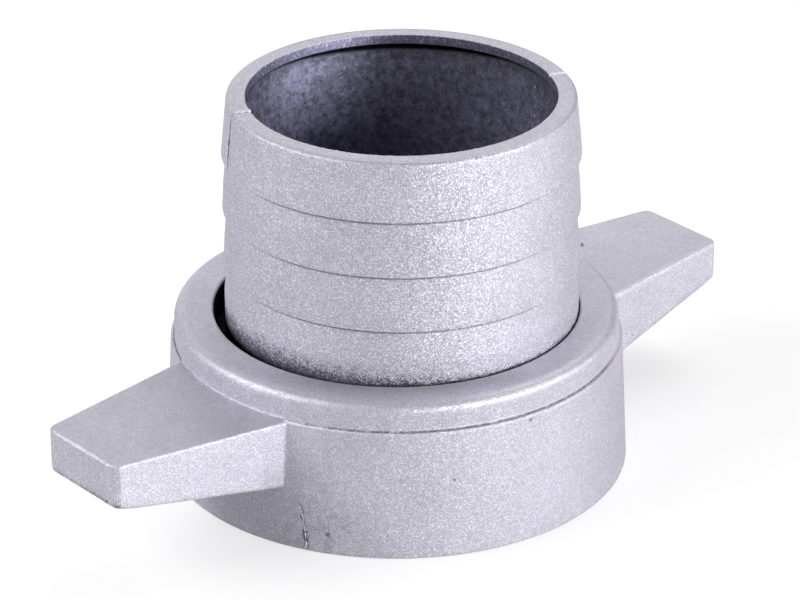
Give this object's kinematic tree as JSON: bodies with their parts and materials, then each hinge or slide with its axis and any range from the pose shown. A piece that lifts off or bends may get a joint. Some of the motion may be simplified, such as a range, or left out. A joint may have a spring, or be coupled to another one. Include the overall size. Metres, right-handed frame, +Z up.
{
  "type": "flange hose adapter",
  "caption": "Cast aluminium hose coupling: barbed hose tail with a flange, held by a loose female-threaded union nut with two tapered wings, on a rubber washer.",
  "frame": {"origin": "centre of the nut's foot, on the axis of its thread", "axes": "+Z up the bore towards the hose end, X through the two wings, Y across them"},
  "size_m": [0.1138, 0.0672, 0.0559],
  "materials": {
    "cast_aluminium": "shot-blasted die casting, fine matt grain, unpainted",
    "black_rubber": "plain moulded rubber"
  },
  "bodies": {
    "tail": {"hose_tail": "cast_aluminium"},
    "nut": {"wing_nut": "cast_aluminium", "sealing_washer": "black_rubber"}
  },
  "joints": [
    {"name": "nut_spin", "type": "hinge", "parent": "tail", "child": "nut", "pos_m": [0, 0, 0], "axis": [0, 0, 1], "continuous": true}
  ]
}
